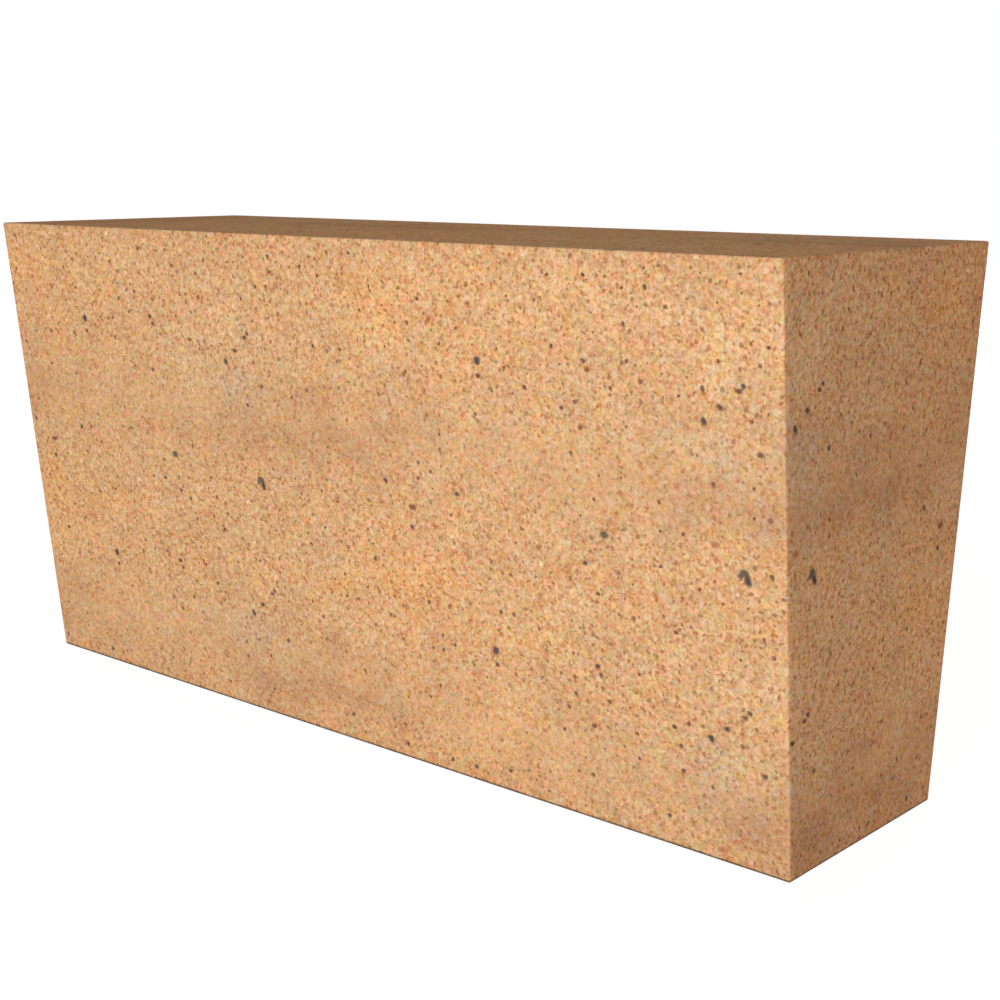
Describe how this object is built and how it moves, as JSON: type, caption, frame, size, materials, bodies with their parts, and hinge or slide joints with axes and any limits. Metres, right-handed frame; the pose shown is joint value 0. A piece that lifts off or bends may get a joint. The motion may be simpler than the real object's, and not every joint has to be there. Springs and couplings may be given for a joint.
{
  "type": "refractory firebrick",
  "caption": "Solid tapered fireclay brick, wedge-shaped in section with lightly rounded edges, for arches, vaults and the roofs of kilns, furnaces and ovens.",
  "frame": {"origin": "middle of the narrow long face, on which the brick stands", "axes": "+X along the brick's length, +Y through its thickness, +Z from the narrow face up to the wide face"},
  "size_m": [0.23, 0.0758, 0.114],
  "materials": {
    "fireclay": "matte"
  },
  "bodies": {
    "root": {"firebrick": "fireclay"}
  },
  "joints": []
}
